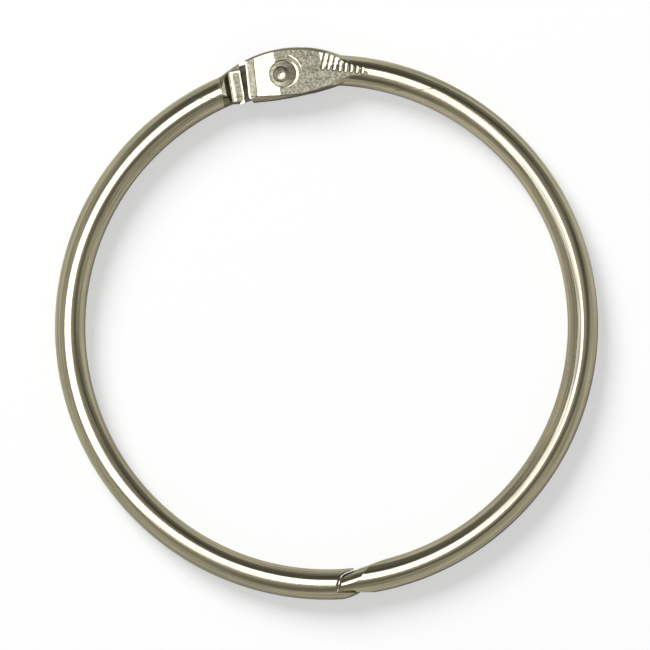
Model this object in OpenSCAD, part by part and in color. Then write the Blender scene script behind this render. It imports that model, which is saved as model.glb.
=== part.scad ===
// Hinged binder ring: two half rings of round steel wire, a riveted hinge and a snap lap.
// The ring lies flat in the XY plane with its lowest line at z = 0. The hinge is at the upper
// left and the closure at the bottom. The nose half swings to the right about the rivet.

/* [Ring] */
// Inside diameter of the closed ring
ring_inner_d = 50.8; // [40:0.1:76]
// Diameter of the wire
wire_d = 3.2; // [3:0.05:3.6]
// How far each half is sprung at the closure: the socket half out, the nose half in
half_spread = 0.085; // [0:0.005:0.12]

/* [Leaf] */
// Place of the rivet round the ring, in degrees from the right-hand side
hinge_a = 100; // [92:1:110]
// Width of the struck leaf at the rivet
leaf_w = 5.4; // [5.2:0.1:6]
// Distance along the wire from the rivet to where the leaf is as wide as the wire
leaf_reach = 6.1; // [5.8:0.1:6.6]
// Radius of the leaf's rounded rim, seen in section
rim_r = 3; // [2:0.1:6]
// Distance from the rivet to where the wire starts to flare into the leaf
flare_start = 7.5; // [7:0.1:8]
// Radius of that flare
flare_r = 4.6; // [4:0.1:5]
// Distance from the rivet to the bevel along the leaf's inner edge
edge_bevel_at = 2.27; // [2.1:0.01:2.5]
// Slope of that bevel, in degrees
edge_bevel_slope = 30; // [20:1:35]
// Turn of that bevel from the leaf's own direction, in degrees
edge_bevel_turn = 7.6; // [5:0.1:9]

/* [Ears] */
// Thickness of the hinge at the rivet
hinge_t = 2.5; // [2.3:0.05:2.8]
// Distance from the rivet, towards the ears' end, to where the level face meets the ramp
ramp_start = 0.6; // [0:0.1:1]
// Distance from the rivet to where the ramp runs out into the wire's top
ramp_reach = 8.7; // [8.2:0.1:10]
// Distance from the rivet to the straight end of the ears
ear_end = 3.8; // [3.5:0.05:3.9]
// Turn of that straight end, in degrees
ear_end_turn = 3.7; // [0:0.1:5]
// Longest reach of an ear's corner from the rivet's axis
ear_corner_r = 4.3; // [4.1:0.02:4.35]
// Width of the bevelled strip at the end of the ears
strip_w = 0.9; // [0.5:0.05:1.2]
// Drop of the bevelled strip at the ears' end
strip_drop = 0.2; // [0.1:0.01:0.3]
// Width of the slot between the ears
slot_t = 1.0; // [0.8:0.05:1.1]
// Distance from the rivet to the bottom of the slot
slot_depth = 2.75; // [2.6:0.05:3.2]

/* [Tongue] */
// Thickness of the tongue
tongue_t = 0.9; // [0.6:0.05:0.95]
// Radius of the tongue's eye
eye_r = 2.4; // [2:0.05:2.5]
// Width of the tongue where it leaves the shoulder block
tongue_w = 3.8; // [3:0.1:4]
// Distance from the rivet to the shoulder block
shoulder = 4.4; // [4.38:0.02:4.6]
// Length of the shoulder block along the wire
block_len = 1.1; // [0.8:0.05:1.3]
// Thickness of the shoulder block
block_t = 2.6; // [2.4:0.05:2.8]
// Distance from the block's middle line to the bevel at its outer end
block_end = 1.1; // [1:0.05:1.3]
// Distance from that line to the chamfer on its inner front corner
block_corner = 1.75; // [1.6:0.05:2.1]
// Radius of the flare between the wire and the block
block_flare_r = 1.4; // [1.2:0.05:1.6]
// Depth of the pressed notch behind the block, below the wire's top
notch_depth = 0.65; // [0.3:0.05:0.8]
// Length of the notch's flat floor
notch_floor = 0.2; // [0.1:0.05:0.4]
// Length of the notch's slope up to the wire
notch_slope = 0.55; // [0.3:0.05:0.8]

/* [Rivet] */
// Diameter of the rivet's shank
shank_d = 1.3; // [1:0.05:1.4]
// Running clearance round the shank, on the radius
shank_clearance = 0.04; // [0.02:0.01:0.08]
// Diameter of the domed button at each end
button_d = 1.7; // [1.7:0.05:2]
// Height of the button's dome
button_h = 0.3; // [0.2:0.02:0.34]
// Distance from the rivet's axis to a button's middle, towards the ears' end
button_shift = 0.18; // [0:0.01:0.2]
// Radius of the dish that a round-nosed punch left in each button
dish_r = 1.3; // [0.9:0.1:2]
// Depth of that dish, below the dome's top
dish_depth = 0.2; // [0.05:0.01:0.22]
// Distance from the rivet's axis to the dish's middle, towards the ears' end
dish_shift = 0.3; // [0:0.02:0.36]
// Distance from the rivet's axis to the dish's middle, towards the inside of the ring
dish_inset = 0.12; // [0:0.02:0.16]
// Diameter of the round recess in each ear
recess_d = 2.8; // [2.4:0.1:3.2]
// Depth of that recess
recess_depth = 0.3; // [0.2:0.02:0.34]
// Slope of the dished rim that the riveting punch pressed round it, in degrees
recess_rim_slope = 14; // [8:1:30]

/* [Ripples] */
// How many ripples cross the end of the ramped face
ripple_count = 8; // [5:1:9]
// Distance from one ripple to the next
ripple_pitch = 0.6; // [0.5:0.02:0.65]
// Radius of a ripple's groove
ripple_r = 0.5; // [0.3:0.05:0.6]
// Depth of a ripple
ripple_depth = 0.08; // [0.03:0.01:0.1]
// Length of the ripples at the wire's end
ripple_short = 0.7; // [0.5:0.1:1]
// Length of the ripple nearest the rivet
ripple_long = 1.5; // [1:0.1:1.6]
// Distance from the first ripple to the end of the ramp
ripple_margin = 0.3; // [0.1:0.05:0.5]
// Distance from the wire's middle line to the ripples nearest the rivet
ripple_offset = 0.2; // [0:0.05:0.4]
// Slant of the ripples nearest the rivet, in degrees
ripple_slant = 14; // [0:1:16]

/* [Closure] */
// Distance from the foot of the ring to the end of the nose
nose_x = 1.13; // [0.6:0.01:1.6]
// Distance from the wire's middle line to the nose's flat outer side
nose_flat = 0.96; // [0.9:0.02:1.1]
// Width of the nose at its end
nose_tip_w = 1.8; // [1.6:0.05:2]
// Slope of the nose's inner side, in degrees
nose_taper = 20; // [16:1:24]
// Slant of the nose's end face, in degrees
nose_slant = 10; // [5:1:14]
// Radius that rounds the nose's inner side, seen in section
nose_side_r = 1.15; // [1.05:0.05:1.25]
// Drop of that rounded side below the wire's top, at the nose's corner
nose_side_drop = 0.05; // [0.04:0.01:0.08]
// Pitch of that rounded side down to the nose's end, in degrees
nose_side_pitch = 2; // [1.5:0.1:2.5]
// Radius that rounds the nose's inner corner
nose_round = 0.6; // [0.3:0.05:0.8]
// Gap between the end of the nose and the bottom of the socket
end_gap = 0.12; // [0.08:0.01:0.3]
// Clearance between the nose and the walls that it lies against
seat_gap = 0.04; // [0.02:0.01:0.08]
// Length of the outer lip past the end of the nose
lip_len = 2.2; // [1.8:0.1:2.6]
// Radius that rounds the lip's outer side to its tip
lip_round = 5; // [4:0.1:7]
// Length of the inner cheek past the end of the nose
cheek_len = 1.65; // [1.2:0.05:1.8]
// Drop of the nose's top to its end face
nose_drop = 0.3; // [0.1:0.05:0.5]
// Length of that drop
nose_drop_len = 0.3; // [0.2:0.05:0.6]
// Size of the bevel on the socket's end, above and below the nose
socket_bevel = 0.25; // [0.1:0.05:0.35]

/* [Catch] */
// Length of the blade that stands out of the nose's end
blade_len = 1.5; // [1:0.1:2]
// Width of the blade across the ring
blade_w = 1.1; // [0.8:0.05:1.2]
// Thickness of the blade
blade_t = 0.7; // [0.5:0.05:0.9]
// Clearance round the blade in its pocket
blade_clearance = 0.05; // [0.03:0.01:0.08]
// Height of the round bump on each face of the blade
bump_h = 0.1; // [0.06:0.01:0.12]
// Radius of the ball that the bump is a cap of
bump_r = 0.35; // [0.3:0.05:0.5]

/* [Hidden] */

$fn = 96;
overcut = 1;

wire_r = wire_d / 2;
mid_r = ring_inner_d / 2 + wire_r;
pivot = [mid_r * cos(hinge_a), mid_r * sin(hinge_a)];
hole_r = shank_d / 2;
// Radius of the lip's outer edge, seen in section
lip_rim = 2.5;
// The nose's rounded side stays this far inside its outline
side_relief = 0.03;
// How far outside the wire the lip's curve starts
lip_step = 0.03;
// Distance from the foot of the ring by which the nose has run out into the wire's sides
nose_root = 6.5;
// Slope of the bevel at the block's outer end, in degrees
block_end_slope = 45;
// How far past the wire's surface a cut's slope goes before it ends
run_out = 0.05;
// How many ripples at the wire's end keep the short length
short_ripples = 3;
// Thickness of the lip's blunt tip
lip_blunt = 0.1;
recess_floor = hinge_t / 2 - recess_depth;

// The socket half is bent a little wider than the ring and the nose half a little tighter. The
// two arcs meet at the top of the ring and lie twice the spread apart at its foot.
socket_bend = mid_r + half_spread;
nose_bend = mid_r - half_spread;

// The leaf is what two discs have in common. Each disc's rim passes through the leaf's edge
// beside the rivet and the wire's edge at the leaf's reach.
leaf_a = leaf_reach / mid_r * 180 / PI;
outer_edge = [(mid_r + wire_r) * cos(leaf_a) - mid_r, (mid_r + wire_r) * sin(leaf_a)];
inner_edge = [(mid_r - wire_r) * cos(leaf_a) - mid_r, (mid_r - wire_r) * sin(leaf_a)];
function rim_radius(rise, run) = (rise * rise + run * run) / (2 * rise);
outer_rim = rim_radius(leaf_w / 2 - outer_edge[0], outer_edge[1]);
inner_rim = rim_radius(leaf_w / 2 + inner_edge[0], inner_edge[1]);

// A ramp that runs smoothly from 0 to 1
function smooth(t) = let (u = min(1, max(0, t))) u * u * (3 - 2 * u);

// The angle at the ring's centre for a distance along the wire
function turn(s) = s / mid_r * 180 / PI;

// An arc of round wire from one angle to another
module wire_arc(bend, from_a, to_a) {
    rotate([0, 0, from_a])
        rotate_extrude(angle = to_a - from_a)
            translate([bend, 0])
                circle(r = wire_r);
}

// Places the socket half's arc and what is measured along it
module at_socket_centre() {
    translate([0, -half_spread, wire_r])
        children();
}

// Places the nose half's arc and what is measured along it
module at_nose_centre() {
    translate([0, half_spread, wire_r])
        children();
}

// Places children in the hinge's own frame: x runs out of the ring and y along the wire,
// towards the socket half
module at_hinge() {
    translate([pivot[0], pivot[1], wire_r])
        rotate([0, 0, hinge_a])
            children();
}

// Does the same thing to the upper and the lower side of the hinge
module both_sides() {
    children();
    mirror([0, 0, 1])
        children();
}

// Extrudes a side view of the hinge, drawn in y and z, right across the leaf
module across() {
    translate([-leaf_w, 0, 0])
        rotate([90, 0, 90])
            linear_extrude(2 * leaf_w)
                children();
}

// ---- leaf ----------------------------------------------------------------------------------

// A disc with a rounded rim
module rimmed_disc(r) {
    rotate_extrude()
        intersection() {
            translate([0, -wire_r])
                square([r, wire_d]);
            union() {
                translate([0, -wire_r])
                    square([r - rim_r, wire_d]);
                translate([r - rim_r, 0])
                    circle(r = rim_r);
            }
        }
}

module leaf() {
    intersection() {
        translate([leaf_w / 2 - outer_rim, 0, 0])
            rimmed_disc(outer_rim);
        translate([inner_rim - leaf_w / 2, 0, 0])
            rimmed_disc(inner_rim);
    }
}

// The room that the leaf grows into: a round body that is as thick as the wire at its start,
// flares in a curve from there and then stays as wide as that
module flare(curve, length) {
    rotate([-90, 0, 0])
        rotate_extrude()
            difference() {
                square([wire_r + curve, length]);
                translate([wire_r + curve, 0])
                    circle(r = curve);
            }
}

// ---- nose half: ears -----------------------------------------------------------------------

// The struck leaf on the nose half's wire, before its faces are cut
module ear_blank() {
    intersection() {
        at_hinge()
            leaf();
        at_nose_centre()
            rotate([0, 0, hinge_a - turn(flare_start)])
                translate([nose_bend, 0, 0])
                    flare(flare_r, 2 * flare_start);
    }
}

// Cuts the level face round the rivet and the ramp that runs up to the wire's top
module ear_faces() {
    both_sides()
        across()
            polygon([
                [-ramp_reach, wire_r],
                [ramp_start, hinge_t / 2],
                [ear_end + overcut, hinge_t / 2],
                [ear_end + overcut, wire_r + overcut],
                [-ramp_reach, wire_r + overcut]]);
}

// Cuts the ears to length and bevels the strip along their end
module ear_end_cut() {
    slope = strip_drop / strip_w;
    rotate([0, 0, -ear_end_turn]) {
        translate([-leaf_w, ear_end, -wire_d])
            cube([2 * leaf_w, leaf_w, 2 * wire_d]);
        both_sides()
            across()
                polygon([
                    [ear_end - strip_w, hinge_t / 2],
                    [ear_end + overcut, hinge_t / 2 - slope * (strip_w + overcut)],
                    [ear_end + overcut, hinge_t / 2 + overcut],
                    [ear_end - strip_w, hinge_t / 2 + overcut]]);
    }
}

// Trims the ears' corners so that they turn clear of the shoulder block
module ear_corner_cut() {
    difference() {
        translate([-leaf_w, ear_end / 2, -wire_d])
            cube([2 * leaf_w, leaf_w, 2 * wire_d]);
        cylinder(r = ear_corner_r, h = 2 * wire_d + 2 * overcut, center = true);
    }
}

module ear_slot() {
    translate([-leaf_w, -slot_depth, -slot_t / 2])
        cube([2 * leaf_w, slot_depth + 2 * ear_end, slot_t]);
}

// Sinks the rivet's head. The punch pressed the rim down where the ramp stands higher than the
// level face.
module rivet_recess() {
    both_sides() {
        translate([0, 0, recess_floor])
            cylinder(d = recess_d, h = recess_depth + overcut);
        translate([0, 0, hinge_t / 2])
            cylinder(r1 = recess_d / 2, r2 = recess_d / 2 + overcut / tan(recess_rim_slope), h = overcut);
    }
}

// Bevels the ears along the leaf's inner edge
module edge_bevel() {
    both_sides()
        translate([-edge_bevel_at, 0, hinge_t / 2])
            rotate([0, -edge_bevel_slope, -edge_bevel_turn])
                translate([-leaf_w, -ramp_reach, 0])
                    cube([2 * leaf_w, 2 * ramp_reach, wire_d]);
}

// A rod with round ends that lies along x
module round_rod(r, length) {
    rotate([0, 90, 0])
        rotate_extrude()
            intersection() {
                union() {
                    circle(r = r);
                    translate([0, length])
                        circle(r = r);
                    square([r, length]);
                }
                translate([0, -r])
                    square([r, length + 2 * r]);
            }
}

// The ripples cross the outer half of the ramp, from the wire's middle line outwards
module ripples() {
    for (i = [0:ripple_count - 1]) {
        s = ramp_reach - ripple_margin - i * ripple_pitch;
        grow = smooth((i - short_ripples) / (ripple_count - 1 - short_ripples));
        face = hinge_t / 2 + (wire_r - hinge_t / 2) * (s + ramp_start) / (ramp_reach + ramp_start);
        both_sides()
            translate([-mid_r, 0, 0])
                rotate([0, 0, -turn(s)])
                    translate([mid_r + ripple_offset * grow, 0, face + ripple_r - ripple_depth])
                        rotate([0, 0, -ripple_slant * grow])
                            round_rod(ripple_r, ripple_short + (ripple_long - ripple_short) * grow);
    }
}

// ---- socket half: tongue and shoulder ------------------------------------------------------

module tongue_outline() {
    circle(r = eye_r);
    intersection() {
        translate([-leaf_w, 0])
            square([2 * leaf_w, shoulder + block_len / 2]);
        translate([-mid_r, 0])
            difference() {
                circle(r = mid_r + tongue_w / 2);
                circle(r = mid_r - tongue_w / 2);
            }
    }
}

module tongue() {
    difference() {
        translate([0, 0, -tongue_t / 2])
            linear_extrude(tongue_t)
                tongue_outline();
        cylinder(r = hole_r + shank_clearance, h = 2 * tongue_t, center = true);
    }
}

// The struck leaf on the socket half's wire, before the block's faces are cut
module block_blank() {
    start = shoulder + block_len + block_flare_r;
    intersection() {
        at_hinge()
            leaf();
        at_socket_centre()
            rotate([0, 0, hinge_a + turn(start)])
                translate([socket_bend, 0, 0])
                    mirror([0, 1, 0])
                        flare(block_flare_r, start - shoulder + overcut);
    }
}

// Cuts the block's flat faces, the notch behind them and the shoulder in front
module block_cut() {
    back = shoulder + block_len;
    notch_z = wire_r - notch_depth;
    both_sides()
        across()
            polygon([
                [0, block_t / 2],
                [back, block_t / 2],
                [back, notch_z],
                [back + notch_floor, notch_z],
                [back + notch_floor + notch_slope, wire_r + run_out],
                [back + notch_floor + notch_slope, wire_r + overcut],
                [0, wire_r + overcut]]);
    both_sides()
        translate([block_end, 0, block_t / 2])
            rotate([0, block_end_slope, 0])
                cube([leaf_w, back, wire_d]);
    translate([0, 0, -wire_d])
        linear_extrude(2 * wire_d)
            polygon([
                [-block_corner + overcut, shoulder - overcut],
                [-block_corner - leaf_w, shoulder + leaf_w],
                [-block_corner - leaf_w, shoulder - overcut]]);
    translate([-leaf_w, 0, -wire_d])
        cube([2 * leaf_w, shoulder, 2 * wire_d]);
}

// ---- closure -------------------------------------------------------------------------------

// Places children in the closure's own frame: x runs to the right and y towards the middle of
// the ring, from the wire's middle line at the foot of the ring
module at_closure() {
    translate([0, -mid_r, wire_r])
        children();
}

// The corner where the lines of the nose's end face and inner side meet, for the same gaps as
// the outline below
function nose_corner(end_grow, side_grow) =
    let (y = nose_tip_w - nose_flat + side_grow / cos(nose_taper))
    [nose_x - end_grow + tan(nose_slant) * (y + nose_flat), y];

// The nose seen from above, grown by one gap at its end and by another at its sides
module nose_outline(end_grow, side_grow) {
    low = -nose_flat - side_grow;
    corner = nose_corner(end_grow, side_grow);
    half_a = (90 + nose_taper - nose_slant) / 2;
    down = [-sin(nose_slant), -cos(nose_slant)];
    along = [cos(nose_taper), sin(nose_taper)];
    middle = corner + (down + along) / norm(down + along) * nose_round / sin(half_a);
    far = nose_root + wire_d;
    polygon([
        [corner[0] - tan(nose_slant) * (corner[1] - low), low],
        corner + down * nose_round / tan(half_a),
        middle,
        corner + along * nose_round / tan(half_a),
        corner + along * far,
        [corner[0] + far, low]]);
    translate(middle)
        circle(r = nose_round);
}

module nose_prism(end_grow, side_grow) {
    translate([0, 0, -wire_d])
        linear_extrude(2 * wire_d)
            nose_outline(end_grow, side_grow);
}

// Extrudes a profile, drawn in x and z, along y
module along_y(length) {
    rotate([90, 0, 180])
        mirror([1, 0, 0])
            linear_extrude(length)
                children();
}

// The rounded inner side of the nose, from its crown to its outline, and all that is below it
module nose_side() {
    rotate([0, -nose_side_pitch, 0])
        rotate([90, 0, 90])
            linear_extrude(2 * nose_root, center = true) {
                circle(r = nose_side_r);
                translate([-nose_side_r, -wire_d])
                    square([2 * nose_side_r, wire_d]);
            }
}

// Cuts the nose to its outline and rounds its inner side, which tapers to the end
module nose_cut() {
    difference() {
        translate([-wire_d, -wire_d, -wire_d])
            cube([wire_d + nose_root, 2 * wire_d, 2 * wire_d]);
        nose_prism(0, 0);
    }
    translate(nose_corner(0, 0))
        rotate([0, 0, nose_taper])
            translate([0, -nose_side_r - side_relief, 0])
                both_sides()
                    difference() {
                        translate([-wire_d, 0, 0])
                            cube([wire_d + nose_root - overcut, wire_d, wire_d]);
                        translate([0, 0, wire_r - nose_side_drop - nose_side_r])
                            nose_side();
                    }
}

// Bevels the nose's top and underside along its end face
module nose_bevel() {
    slope = nose_drop / nose_drop_len;
    translate([nose_x, -nose_flat, 0])
        rotate([0, 0, -nose_slant])
            both_sides()
                translate([0, -wire_d, 0])
                    along_y(3 * wire_d)
                        polygon([
                            [-overcut, wire_r - nose_drop - slope * overcut],
                            [nose_drop_len + overcut, wire_r + slope * overcut],
                            [-overcut, wire_r + slope * overcut]]);
}

// Bevels the socket's end the same way, above and below the nose
module socket_end_bevel() {
    intersection() {
        nose_prism(end_gap + socket_bevel + run_out, seat_gap);
        translate([nose_x - end_gap, -nose_flat, 0])
            rotate([0, 0, -nose_slant])
                both_sides()
                    translate([0, -wire_d, 0])
                        along_y(3 * wire_d)
                            polygon([
                                [overcut, wire_r - socket_bevel - overcut],
                                [overcut, wire_r + overcut],
                                [-socket_bevel - overcut, wire_r + overcut]]);
    }
}

// The lip's outer side curves in to its tip. The curve leaves the wire's outer side at a small
// angle and ends at the outer corner of the lip's blunt tip.
lip_corner = [nose_x + lip_len, -nose_flat - seat_gap - lip_blunt];
socket_middle = [0, mid_r - half_spread];
corner_reach = norm(lip_corner - socket_middle);
lip_reach = socket_bend + wire_r + lip_step - lip_round;
lip_a = atan2(lip_corner[0], socket_middle[1] - lip_corner[1])
    - acos((pow(corner_reach, 2) + pow(lip_reach, 2) - pow(lip_round, 2))
        / (2 * corner_reach * lip_reach));
lip_middle = socket_middle + lip_reach * [sin(lip_a), -cos(lip_a)];

// Cuts the wire's end to the lip on its outer side and the cheek on its inner side
module lip_cut() {
    difference() {
        translate(socket_middle)
            rotate([0, 0, lip_a])
                translate([0, -socket_bend - wire_d, -wire_d])
                    cube([2 * wire_d, wire_d - nose_flat / 2, 2 * wire_d]);
        translate(lip_middle)
            rotate_extrude() {
                translate([0, -wire_d])
                    square([lip_round - lip_rim, 2 * wire_d]);
                translate([lip_round - lip_rim, 0])
                    circle(r = lip_rim);
            }
    }
    translate([nose_x + cheek_len, 0, -wire_d])
        cube([2 * lip_len, wire_d, 2 * wire_d]);
}

// The blade slides along an arc about the rivet, so it and its pocket are arcs about it
nose_end = [nose_corner(0, 0)[0] - tan(nose_slant) * nose_tip_w / 2, nose_tip_w / 2 - nose_flat - mid_r];
blade_r = norm(nose_end - pivot);
blade_a = atan2(nose_end[1] - pivot[1], nose_end[0] - pivot[0]);
function blade_turn(s) = s / blade_r * 180 / PI;

module blade_bar(grow, root, tip) {
    translate([pivot[0], pivot[1], wire_r])
        rotate([0, 0, blade_a - blade_turn(tip)])
            rotate_extrude(angle = blade_turn(root + tip))
                translate([blade_r - blade_w / 2 - grow, -blade_t / 2 - grow])
                    square([blade_w + 2 * grow, blade_t + 2 * grow]);
}

module blade_bumps(grow) {
    translate([pivot[0], pivot[1], wire_r])
        rotate([0, 0, blade_a - blade_turn(blade_len / 2)])
            both_sides()
                translate([blade_r, 0, blade_t / 2 + bump_h - bump_r])
                    sphere(r = bump_r + grow);
}

module blade() {
    blade_bar(0, nose_round, blade_len);
    blade_bumps(0);
}

module blade_pocket() {
    blade_bar(blade_clearance, nose_round, blade_len + end_gap);
    blade_bumps(blade_clearance);
}

// ---- pieces --------------------------------------------------------------------------------

module socket_half() {
    color("silver") {
        difference() {
            union() {
                difference() {
                    at_socket_centre()
                        wire_arc(socket_bend, hinge_a + turn(shoulder),
                            270 + turn(nose_x + lip_len));
                    at_closure() {
                        lip_cut();
                        nose_prism(end_gap, seat_gap);
                        socket_end_bevel();
                    }
                    blade_pocket();
                }
                block_blank();
            }
            at_hinge()
                block_cut();
        }
        at_hinge()
            tongue();
    }
}

module nose_half() {
    color("silver") {
        difference() {
            union() {
                difference() {
                    at_nose_centre()
                        wire_arc(nose_bend, 270, 360 + hinge_a - turn(slot_depth));
                    at_closure() {
                        nose_cut();
                        nose_bevel();
                    }
                }
                ear_blank();
            }
            at_hinge() {
                ear_faces();
                ear_end_cut();
                ear_corner_cut();
                ear_slot();
                rivet_recess();
                edge_bevel();
                ripples();
                cylinder(r = hole_r, h = 2 * wire_d, center = true);
            }
        }
        blade();
    }
}

// The button at the rivet's upper end, on the floor of the recess
module rivet_button() {
    top = recess_floor + button_h;
    dome_r = rim_radius(button_h, button_d / 2);
    difference() {
        translate([0, button_shift, 0])
            intersection() {
                translate([0, 0, top - dome_r])
                    sphere(r = dome_r);
                translate([0, 0, recess_floor])
                    cylinder(d = button_d, h = button_h);
            }
        translate([-dish_inset, dish_shift, top - dish_depth + dish_r])
            sphere(r = dish_r);
    }
}

module hinge_rivet() {
    color("lightgray")
        at_hinge() {
            cylinder(r = hole_r, h = 2 * recess_floor, center = true);
            both_sides()
                rivet_button();
        }
}

socket_half();
nose_half();
hinge_rivet();
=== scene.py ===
# %% [markdown]
# # A hinged binder ring
# The ring is two half rings of round steel wire with a bright nickel plating. One half ends in a
# flat leaf with two ears, the other in a tongue that a rivet holds between them, and at the foot
# a tapered nose snaps into a socket. This notebook gives the parts their finishes and lights
# them on a white table. It starts by loading the solid model, which fixes every size and place.

# %% Load the solid model
import math

import bpy
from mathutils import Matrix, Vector

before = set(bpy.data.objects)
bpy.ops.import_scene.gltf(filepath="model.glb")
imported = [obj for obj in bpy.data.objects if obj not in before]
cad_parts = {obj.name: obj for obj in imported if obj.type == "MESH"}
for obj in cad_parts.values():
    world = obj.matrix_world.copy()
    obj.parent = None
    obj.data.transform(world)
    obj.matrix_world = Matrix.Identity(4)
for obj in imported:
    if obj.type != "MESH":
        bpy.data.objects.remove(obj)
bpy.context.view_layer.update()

# %% [markdown]
# The finishes are patterns that follow the metal: fine lines that the drawing die left along the
# wire, and the grain of the press tool on the leaf. They could be painted on by hand, but the
# ring is so regular that a few sizes place them better. These are the solid model's own. The
# leaf has three directions: outward from the ring's middle, along the wire, and up.

# %% Sizes that the patterns follow
MM = 0.001                  # Blender measures in metres
WIRE_R = 1.6 * MM
MID_R = 27.0 * MM           # from the ring's middle to the middle of the wire


def compass(degrees):
    """The level direction that many degrees round from +X."""
    turn = math.radians(degrees)
    return (math.cos(turn), math.sin(turn), 0)


OUTWARD = Vector(compass(100))
ALONG = Vector((-OUTWARD.y, OUTWARD.x, 0))
HINGE = MID_R * OUTWARD
print("the hinge stands at", [round(c / MM, 2) for c in HINGE], "mm")

# %% [markdown]
# A shader is a graph of nodes. Writing its sums as Python expressions keeps them readable, so
# one small class wraps an output socket. Adding or multiplying two of these adds the Math node
# that does it. Vectors and colours have methods of their own, because a Math node would make
# one number of them. Every other node comes from the method called add.

# %% A class for shader maths
class Field:
    """One output of a shader node: a value that varies over the surface."""

    def __init__(self, tree, socket):
        self.tree = tree
        self.socket = socket

    def add(self, kind, inputs, output=0, **settings):
        """Adds a node, sets it, fills its sockets with values or links, and gives one output."""
        node = self.tree.nodes.new("ShaderNode" + kind)
        for name, value in settings.items():
            setattr(node, name, value)
        for name, value in inputs.items():
            if isinstance(value, Field):
                self.tree.links.new(value.socket, node.inputs[name])
            else:
                node.inputs[name].default_value = value
        return Field(self.tree, node.outputs[output])

    def maths(self, operation, *values):
        return self.add("Math", dict(enumerate(values)), operation=operation)

    def vector(self, operation, *values, output="Vector"):
        return self.add("VectorMath", dict(enumerate(values)), output, operation=operation)

    def __add__(self, other):
        return self.maths("ADD", self, other)

    def __sub__(self, other):
        return self.maths("SUBTRACT", self, other)

    def __rsub__(self, other):
        return self.maths("SUBTRACT", other, self)

    def __mul__(self, other):
        return self.maths("MULTIPLY", self, other)

    def __truediv__(self, other):
        return self.maths("DIVIDE", self, other)

    def __rtruediv__(self, other):
        return self.maths("DIVIDE", other, self)

    __radd__ = __add__
    __rmul__ = __mul__

    def ramp(self, low, high, at_low=0.0, at_high=1.0):
        """Runs smoothly from at_low where the field is low to at_high where it is high."""
        return self.add("MapRange", {"Value": self, "From Min": low, "From Max": high,
                                     "To Min": at_low, "To Max": at_high},
                        interpolation_type="SMOOTHSTEP")

    def dot(self, direction, origin=(0, 0, 0)):
        """How far the point lies from origin in that direction."""
        offset = self.vector("SUBTRACT", self, origin)
        return offset.vector("DOT_PRODUCT", offset, direction, output="Value")

    def blend(self, first, second):
        """The first colour where the field is 0 and the second where it is 1."""
        return self.add("Mix", {0: self, 6: first, 7: second}, 2, data_type="RGBA")

    def noise(self, scale, detail, roughness=0.5):
        """Cloudy noise at this point: a larger scale gives smaller clouds."""
        return self.add("TexNoise", {"Vector": self, "Scale": scale, "Detail": detail,
                                     "Roughness": roughness}, "Fac")


print("a field has", ", ".join(name for name in vars(Field) if not name.startswith("_")))

# %% [markdown]
# Each finish starts the same way: a material with one Principled BSDF, and the point on the
# surface in the object's own coordinates, so that a pattern moves with its half when the ring
# opens. The constants go straight on the shader's sockets. A pattern that is linked to one of
# them later takes its place.

# %% Start a finish
NICKEL = (0.66, 0.62, 0.50)


def start_finish(name, roughness):
    """A metal with these constants, its shader, and the point on its surface."""
    material = bpy.data.materials.new(name)
    material.use_nodes = True
    tree = material.node_tree
    shader = tree.nodes["Principled BSDF"]
    shader.inputs["Base Color"].default_value = (*NICKEL, 1)
    shader.inputs["Metallic"].default_value = 1.0
    shader.inputs["Roughness"].default_value = roughness
    point = Field(tree, tree.nodes.new("ShaderNodeTexCoord").outputs["Object"])
    return material, shader, point


def connect(shader, **fields):
    """Links each field to the socket of that name."""
    for name, field in fields.items():
        field.tree.links.new(field.socket, shader.inputs[name.replace("_", " ")])


nickel, shader, point = start_finish("bright_nickel", 0.14)
print("started", nickel.name, "with the base colour", NICKEL)

# %% [markdown]
# Nickel on drawn wire is bright and a little warm. What keeps it from looking like a mirror is
# the drawing: faint lines that run round the ring, close together across the wire and long
# along it. A stretched image would need the wire unrolled, so a noise in four dimensions gives
# them. Its first two coordinates are the direction from the ring's middle, which changes slowly
# along the wire, and the other two are the place in the wire's section, scaled up.

# %% Lines along the wire
LINES_ALONG = 60.0          # per metre
LINES_ACROSS = 3600.0       # per metre


def wire_lines(point, across, detail):
    """Noise in lines along the wire, with this many per metre across it."""
    x, y, z = (point.dot(axis) for axis in ((1, 0, 0), (0, 1, 0), (0, 0, 1)))
    reach = point.maths("SQRT", x * x + y * y)
    stretch = MID_R * LINES_ALONG / reach
    place = point.add("CombineXYZ", {0: x * stretch, 1: y * stretch, 2: reach * across})
    return place.add("TexNoise", {"Vector": place, "W": z * across, "Scale": 1.0,
                                  "Detail": detail, "Roughness": 0.7},
                     "Fac", noise_dimensions="4D")


lines = wire_lines(point, LINES_ACROSS, detail=4.0)
print("the drawing lines are about", round(1 / (LINES_ACROSS * MM), 2), "mm apart")

# %% [markdown]
# Everything on the leaf is placed from the rivet, in millimetres: how far along the wire,
# towards the ears' end, how far outward, and how high above or below the wire's middle. The leaf
# is the same on both faces, so the height has no sign. Two helpers turn limits into masks.

# %% Places on the leaf
def near(field, value, reach):
    """1 where the field is within reach of the value, and 0 a little further off."""
    offset = field - value
    return offset.maths("ABSOLUTE", offset).ramp(reach, reach * 1.4, 1.0, 0.0)


def between(field, low, high, soft):
    """1 between low and high, with a soft edge this wide inside each."""
    return field.ramp(low, low + soft) * field.ramp(high - soft, high, 1.0, 0.0)


HINGE_SIDE = -6                       # mm outward from the rivet, where the hinge's side starts

along = point.dot(ALONG, HINGE) / MM
outward = point.dot(OUTWARD, HINGE) / MM
height = point.dot((0, 0, 1), (0, 0, WIRE_R)) / MM
height = height.maths("ABSOLUTE", height)
hinge = outward.ramp(HINGE_SIDE - 2, HINGE_SIDE)         # 1 at the hinge, 0 at the closure
print("the hinge's side starts", round(MID_R / MM + HINGE_SIDE), "mm from the ring's middle")

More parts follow.
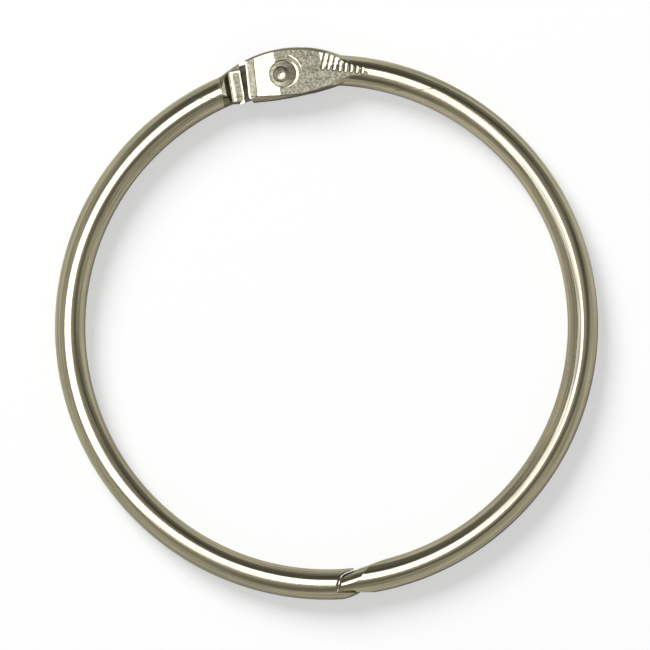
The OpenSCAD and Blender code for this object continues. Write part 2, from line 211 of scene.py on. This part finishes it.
# %% [markdown]
# The leaf's flat faces were struck between dies. Only the level face beside the rivet was
# polished afterwards. The ramp, the bevelled strip at the end of the ears and the block kept
# the grain of the die, so they are duller, apart from their edges, which have been rubbed
# bright. Picking their triangles in the mesh would be slow work, and would break with the next
# change of size. Each face lies on a known plane, so comparing heights picks it out instead,
# and limits in millimetres say where on the plane it starts and ends.

# %% Masks for the struck faces
LEAF_TOP, BLOCK_TOP, RIPPLE_MIDDLE = 1.25, 1.3, 1.21     # mm above the wire's middle
ON_FACE = 0.008                       # a point this near to a plane, in mm, is on the face
RAMP_START, RAMP_SLOPE = 0.6, 0.35 / 9.3                 # it climbs 0.35 mm in 9.3 mm
STRIP_START, STRIP_SLOPE = 2.9, 0.2 / 0.9                # it falls 0.2 mm in 0.9 mm
EARS_TURN = math.radians(3.7)         # the ears' end isn't quite square to the wire

before_ramp = RAMP_START - along
rise = before_ramp.maths("MAXIMUM", before_ramp, 0.0) * RAMP_SLOPE
above_ramp = height - rise
ramp = near(above_ramp, LEAF_TOP, ON_FACE) * between(along, -8.9, 0.7, 0.2)
to_end = along * math.cos(EARS_TURN) + outward * math.sin(EARS_TURN)
strip = near(height + (to_end - STRIP_START) * STRIP_SLOPE, LEAF_TOP, ON_FACE)
strip = strip * between(to_end, 2.88, 3.62, 0.04)
block = near(height, BLOCK_TOP, ON_FACE) * between(along, 4.54, 5.28, 0.08)
block = block * between(outward, -2.2, 1.0, 0.08)
ripples = near(above_ramp, RIPPLE_MIDDLE, 0.045) * between(along, -8.9, -4.05, 0.2)
ripples = ripples * outward.ramp(-0.1, 0.1)
struck = (ramp * (1 - ripples) + strip * 0.85 + block * 0.9) * hinge
print("the ramp climbs", round(math.degrees(math.atan(RAMP_SLOPE)), 1), "degrees and the strip",
      "falls", round(math.degrees(math.atan(STRIP_SLOPE)), 1))

# %% [markdown]
# Plating hardly reaches the bottom of a hole or a narrow slot, so the floor of the recess, the
# tongue between the ears and the notch behind the block are dull. Their colour is darkened as
# well, a painted shade for these hollows, and the recess is painted darker on its side away from
# the ears' end. Thin lines of painted shade mark the corner round the recess and the creases
# where the strip and the inner bevel begin. Ambient occlusion finds corners by itself, but it is
# slow and also darkens places that should stay bright. Here each place is a product of limits,
# and their sum says how much the colour is darkened.

# %% Masks for the dark places at the hinge
RECESS_R = 1.4                        # mm
BEVEL_AT, BEVEL_TURN = 2.27, math.radians(7.6)           # mm inward from the rivet
TONGUE_TOP, RECESS_MOUTH = 0.46, 1.22                    # mm above the wire's middle

radius = point.maths("SQRT", along * along + outward * outward)
recess = height.ramp(RECESS_MOUTH, RECESS_MOUTH + 0.04, 1.0, 0.0)
recess = recess * radius.ramp(RECESS_R, RECESS_R + 0.04, 1.0, 0.0)
tongue = height.ramp(TONGUE_TOP, TONGUE_TOP + 0.02, 1.0, 0.0) * between(along, -2.6, 4.5, 0.1)
tongue = tongue * between(outward, -2.5, 2.5, 0.05)
notch = between(along, 5.48, 6.7, 0.08) * hinge
to_bevel = (outward + BEVEL_AT) * math.cos(BEVEL_TURN) - along * math.sin(BEVEL_TURN)
crease_shade = near(radius, RECESS_R, 0.05) + near(to_bevel, 0.0, 0.04) * height.ramp(1.1, 1.12)
crease_shade = crease_shade + near(to_end, STRIP_START + 0.02, 0.035) * height.ramp(1.2, 1.22)
# Painted shade: recess floor (darker away from the ears' end), tongue, notch and crease lines.
dull_and_painted_shade = recess * along.ramp(-1.0, 1.2, 0.8, 0.5) + tongue * 0.9 + notch * 0.55 + crease_shade * 0.45
print("the recess is", 2 * RECESS_R, "mm across")

# %% [markdown]
# The nose and the socket at the foot were cut out of round wire, and their cut faces are greyer
# and duller than the drawn skin. Their colour is also darkened, a painted shade for the narrow
# gap between the two ends. Instead of a plane for each of them, one comparison finds them all:
# the way that a point of round wire would face, and the way that this point does. Where the two
# differ, metal has been cut away. Both are in the half's own coordinates, because a direction of
# the room would mark the wrong places once the half has turned.

# %% A mask for the cut faces of the closure
SURELY_CUT, MAYBE_CUT = 0.82, 0.94    # cosines of the angle between the two ways

spoke = point.vector("NORMALIZE", point.vector("MULTIPLY", point, (1, 1, 0)))
core = spoke.vector("MULTIPLY_ADD", spoke, (MID_R, MID_R, 0), (0, 0, WIRE_R))
skin = point.vector("NORMALIZE", point.vector("SUBTRACT", point, core))
own_normal = point.add("TexCoord", {}, "Normal")
cut = skin.vector("DOT_PRODUCT", skin, own_normal, output="Value")
cut = cut.ramp(SURELY_CUT, MAYBE_CUT, 1.0, 0.0) * (1 - hinge)
# Painted shade: the closure's cut faces join the dark places here.
dull_and_painted_shade = dull_and_painted_shade.maths("MINIMUM", dull_and_painted_shade * hinge + cut * 0.55, 0.9)
print("a cut face is at least", round(math.degrees(math.acos(MAYBE_CUT))), "degrees off the skin")

# %% [markdown]
# Two more places are darkened in colour and made duller. A band just inside the crown of the half
# at +X is painted with shade, which narrows the bright line there. How far a point of the wire
# leans in or out from the crown places that band. The leaf's pressed rim is painted with shade
# too, for a dark line along it. It is found by its steepness, because nothing else on the leaf is
# so steep, and a turn about the upright rivet doesn't change that.

# %% Masks for the band of painted shade and the rim
BAND_IN, BAND_OUT = -0.5, -0.12       # sines of the lean from the crown

lean = skin.vector("DOT_PRODUCT", skin, spoke, output="Value")     # 0 on the crown, -1 inside
# A band of painted shade just inside the crown at +X.
shaded = between(lean, BAND_IN, BAND_OUT, 0.09) * point.dot((1, 0, 0)).ramp(13 * MM, 22 * MM)
shaded = shaded * (1 - cut)
face = point.add("NewGeometry", {}, "Normal")
steep = face.dot((0, 0, 1))
steep = steep.maths("ABSOLUTE", steep).ramp(0.5, 0.75, 1.0, 0.0)
# The steep rim, for painted shade and a duller gloss along the leaf's edge.
rim = steep * between(along, -5.4, 5.5, 0.8) * hinge
print("the rubbed band reaches", round(-math.degrees(math.asin(BAND_IN))), "degrees inward")

# %% [markdown]
# The ripples are shallow on the real ring. Their grooves here are as shallow as the solid model
# can have them, and the shader takes half the slope out of them by squashing the normal. The
# punch that set the rivet also left a fine arc beside the recess. It is thinner than a hair, so
# a mask for the bump does instead of geometry.

# %% Ripples and the punch's mark
ARC_R, ARC_AT = 2.04, 46              # mm from the rivet, and degrees round from +X
ARC_END, ARC_FULL = 0.86, 0.93        # cosines of the angle from its middle
RIPPLE_SQUASH = 0.5

squash = 1 - ripples * RIPPLE_SQUASH
flatter = face.add("CombineXYZ", {0: squash, 1: squash, 2: 1.0})
flatter = flatter.vector("NORMALIZE", flatter.vector("MULTIPLY", face, flatter))
aside = point.dot(compass(ARC_AT), HINGE) / MM / radius
arc = near(radius, ARC_R, 0.05) * aside.ramp(ARC_END, ARC_FULL) * ramp * hinge
struck = struck * (1 - arc)
print("the arc runs", round(math.degrees(math.acos(ARC_END))), "degrees each way from its middle")

# %% [markdown]
# The plating's brightness varies in three ways: in wide clouds, in the drawing lines, and in
# the grain of the struck faces. The masks then darken their own places with painted shade: the
# hollows and creases at the hinge, the cut faces at the closure, the rim and the band inside the
# crown at +X. A nickel plating is slightly yellow in some lines and redder in others, and greyer
# where it is thin, on the struck and cut faces. Colours are blended and scaled by nodes that keep
# all three channels.

# %% The plated wire's colour
YELLOWER = (0.65, 0.615, 0.465, 1)
REDDER = (0.685, 0.625, 0.485, 1)
GREYER = (0.62, 0.59, 0.48, 1)

cloud = point.noise(scale=260.0, detail=4.0)
grain = point.noise(scale=3800.0, detail=4.0, roughness=0.75)
shade_streaks = wire_lines(point, across=6000.0, detail=2.0)
warmth = wire_lines(point, across=1500.0, detail=2.0)
lines = lines * (1 - struck) + struck * 0.55

shade = cloud.ramp(0.3, 0.7, 0.94, 1.04) * lines.ramp(0.4, 0.6, 0.68, 1.13)
# Painted shade, in streaks, over the band inside the crown at +X.
shade = shade * (1 - shaded * shade_streaks.ramp(0.4, 0.6, 0.8, 0.35))
# The dark places and the rim darken the colour here: painted shade.
shade = shade * (1 - struck * grain.ramp(0.35, 0.65, 0.7, 0.12)) * (1 - dull_and_painted_shade) * (1 - rim * 0.5)
tint = warmth.ramp(0.4, 0.6).blend(YELLOWER, REDDER)
tint = (struck + cut).blend(tint, GREYER)
colour = tint.add("VectorMath", {0: tint, "Scale": shade}, operation="SCALE")
connect(shader, Base_Color=colour)
print("the colour takes", len(point.tree.nodes), "nodes")

# %% [markdown]
# Roughness sets how sharp the reflections are. The wire's skin is nearly a mirror, the bottoms
# of its lines are a little duller, and the struck faces are satin. The relief that is too fine
# for the solid model is a bump. Its heights are in metres, like everything else, so they can be
# compared with the real thing. The bump starts from the flattened normal of the ripples.

# %% The plated wire's gloss and relief
SKIN_ROUGHNESS = 0.11
LINE_DEPTH, GRAIN_DEPTH, ARC_DEPTH = 0.0025 * MM, 0.02 * MM, 0.01 * MM

rough = SKIN_ROUGHNESS + lines.ramp(0.35, 0.65, 0.07, 0.0) + struck * 0.43
rough = rough + dull_and_painted_shade * 0.3 + rim * 0.2 + shaded * 0.12
level = lines * LINE_DEPTH * (1 - struck) + (struck + dull_and_painted_shade * 0.6) * grain * GRAIN_DEPTH
level = level - arc * ARC_DEPTH
bump = level.add("Bump", {"Height": level, "Strength": 1.0, "Distance": 1.0, "Normal": flatter})
connect(shader, Roughness=rough, Normal=bump)
print("the whole finish has", len(point.tree.nodes), "nodes")

# %% [markdown]
# The rivet is a soft steel pin that was peened over in the bottom of each recess. Its button is
# a little duller than the wire, and the hammer left it uneven, so one noise drives both its
# roughness and its bump.

# %% The rivet's finish
DENT_DEPTH = 0.03 * MM

peened, shader, point = start_finish("peened_nickel", 0.3)
dents = point.noise(scale=2600.0, detail=2.0)
level = dents * DENT_DEPTH
bump = level.add("Bump", {"Height": level, "Strength": 1.0, "Distance": 1.0})
connect(shader, Roughness=dents.ramp(0.3, 0.7, 0.24, 0.4), Normal=bump)
print("the dents are up to", DENT_DEPTH / MM, "mm deep")

# %% [markdown]
# The solid model's own surfaces are true to the real ones, down to the ripples and the recess.
# New meshes in their place would only be copies, so the halves and the rivet stay as they are
# and take these finishes.

# %% Dress the parts
for node, finish in (("socket_half", nickel), ("nose_half", nickel), ("hinge_rivet", peened)):
    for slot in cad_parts[node].material_slots:
        slot.material = finish
    print(node, "has", len(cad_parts[node].data.polygons), "faces")

# %% [markdown]
# The table is plain and pale. A camera ray sees it a little lighter than it is lit, so that it
# comes out white away from the ring and still holds the ring's shadow. The metal sees it
# warmer, which gives the wire's sides their colour. More lamps would whiten the table too, but
# they would burn out the metal, so the material asks what kind of ray has reached it.

# %% The table
def ray_kinds(tree):
    """Three fields, each 1 for its own kind of ray: from the camera, off gloss, through glass."""
    rays = tree.nodes.new("ShaderNodeLightPath")
    return [Field(tree, rays.outputs[name])
            for name in ("Is Camera Ray", "Is Glossy Ray", "Is Transmission Ray")]


LIT_TONE, SEEN_TONE = (0.46, 0.45, 0.385, 1), (0.46, 0.46, 0.46, 1)
GLOW_SEEN, GLOW_IN_METAL = 0.53, 0.06

bpy.ops.object.select_all(action="DESELECT")
bpy.ops.mesh.primitive_plane_add(size=1.6)
table = bpy.context.object
table.name = "table"
paint = bpy.data.materials.new("white_table")
paint.use_nodes = True
tree = paint.node_tree
tree.nodes.remove(tree.nodes["Principled BSDF"])
camera_ray, glossy_ray, clear_ray = ray_kinds(tree)
tone = camera_ray.blend(LIT_TONE, SEEN_TONE)
matt = tone.add("BsdfDiffuse", {"Color": tone})
extra = camera_ray * GLOW_SEEN + (glossy_ray + clear_ray) * GLOW_IN_METAL
glow = tone.add("Emission", {"Strength": extra})
total = matt.add("AddShader", {0: matt, 1: glow})
tree.links.new(total.socket, tree.nodes["Material Output"].inputs["Surface"])
table.data.materials.append(paint)
print("the table is", round(table.dimensions.x, 2), "m wide")

# %% [markdown]
# Metal shows the room round it, so the room is as much a part of its look as the plating. It is
# a pale studio: white for the camera, palest at the level of the table and dimmer overhead. The
# side behind the hinge is dimmer still, and so is a patch towards +X and -Y. They draw the dark
# lines that run beside the bright one. A picture of a room would do this too, but a few smooth
# ramps are enough for round wire.

# %% The studio
HORIZON, OVERHEAD = 0.52, 0.36        # how bright metal sees the walls
SIDE_DIMMER, PATCH_DIMMER = 0.28, 0.2
FILL_LIGHT = 0.25                     # how bright matt surfaces see them
WARM_WHITE = (1.0, 0.98, 0.84, 1)

room = bpy.data.worlds.new("studio")
bpy.context.scene.world = room
room.use_nodes = True
tree = room.node_tree
way = Field(tree, tree.nodes.new("ShaderNodeTexCoord").outputs["Generated"])
camera_ray, glossy_ray, clear_ray = ray_kinds(tree)
seen_in_metal = glossy_ray + clear_ray
up = way.dot((0, 0, 1))
dim_side = way.dot(compass(80))
dim_patch = way.dot(compass(-45))
wall = up.ramp(0.0, 0.6, HORIZON, OVERHEAD) - dim_side.ramp(0.15, 0.75, 0.0, SIDE_DIMMER)
wall = wall - between(dim_patch, 0.22, 0.66, 0.14) * up.ramp(0.3, 0.6) * PATCH_DIMMER
strength = seen_in_metal * wall + (1 - seen_in_metal) * FILL_LIGHT
strength = camera_ray + (1 - camera_ray) * strength
hue = seen_in_metal.blend((1.0, 1.0, 1.0, 1), WARM_WHITE)
sky = strength.add("Background", {"Color": hue, "Strength": strength})
tree.links.new(sky.socket, tree.nodes["World Output"].inputs["Surface"])
print("the studio has", len(tree.nodes), "nodes")

# %% [markdown]
# Two lamps do the lighting. A wide softbox hangs over the ring, a little to the left. It draws
# the bright line along the wire's crown, and matt surfaces don't see it. A key lamp at the upper
# left lights the table and gives the soft shadow, and metal doesn't show it. With one lamp for
# both jobs, the line and the shadow couldn't each have the width that they need.

# %% Lamps
LAMP_DISTANCE = 2.0


def softbox(name, tilt_x, tilt_y, size, turn, power):
    """An oval lamp that faces the ring from so many degrees off the vertical."""
    lamp = bpy.data.lights.new(name, "AREA")
    lamp.shape = "ELLIPSE"
    lamp.size, lamp.size_y = size
    lamp.energy = power
    holder = bpy.data.objects.new(name, lamp)
    bpy.context.collection.objects.link(holder)
    way = Vector((math.tan(math.radians(tilt_x)), math.tan(math.radians(tilt_y)), 1)).normalized()
    holder.location = way * LAMP_DISTANCE
    holder.rotation_euler = (-way).to_track_quat("-Z", "Y").to_euler()
    holder.rotation_euler.rotate_axis("Z", math.radians(turn))
    print(name, "hangs at", [round(c, 2) for c in holder.location], "m")
    return holder


overhead = softbox("overhead_box", tilt_x=-15, tilt_y=6, size=(2.6, 1.4), turn=-23, power=22)
overhead.visible_diffuse = False
key = softbox("key_lamp", tilt_x=-39, tilt_y=47, size=(1.1, 1.1), turn=0, power=54)
key.visible_glossy = False

# %% [markdown]
# The camera looks straight down from far off, so the ring keeps its true outline and the wire's
# inner sides don't show. The focal length follows from the picture: it is 650 pixels wide, and
# at the height of the wire's middle each pixel spans about a tenth of a millimetre. The ring
# lies a little off the picture's middle.

# %% The camera
PIXELS, PIXEL = 650, 0.1053 * MM
AIM_X, AIM_Y = -2.3 * PIXEL, 1.5 * PIXEL
CAMERA_HEIGHT = 1.2

lens = bpy.data.cameras.new("camera")
lens.sensor_width = 36
camera = bpy.data.objects.new("camera", lens)
bpy.context.collection.objects.link(camera)
camera.location = (AIM_X, AIM_Y, CAMERA_HEIGHT)
lens.lens = lens.sensor_width * (camera.location.z - WIRE_R) / (PIXELS * PIXEL)
lens.clip_end = 10
bpy.context.scene.camera = camera
bpy.context.scene.view_settings.view_transform = "Standard"
print("the lens is", round(lens.lens), "mm long")

# %% [markdown]
# The finishes leave every part's size and place as the solid model has them.
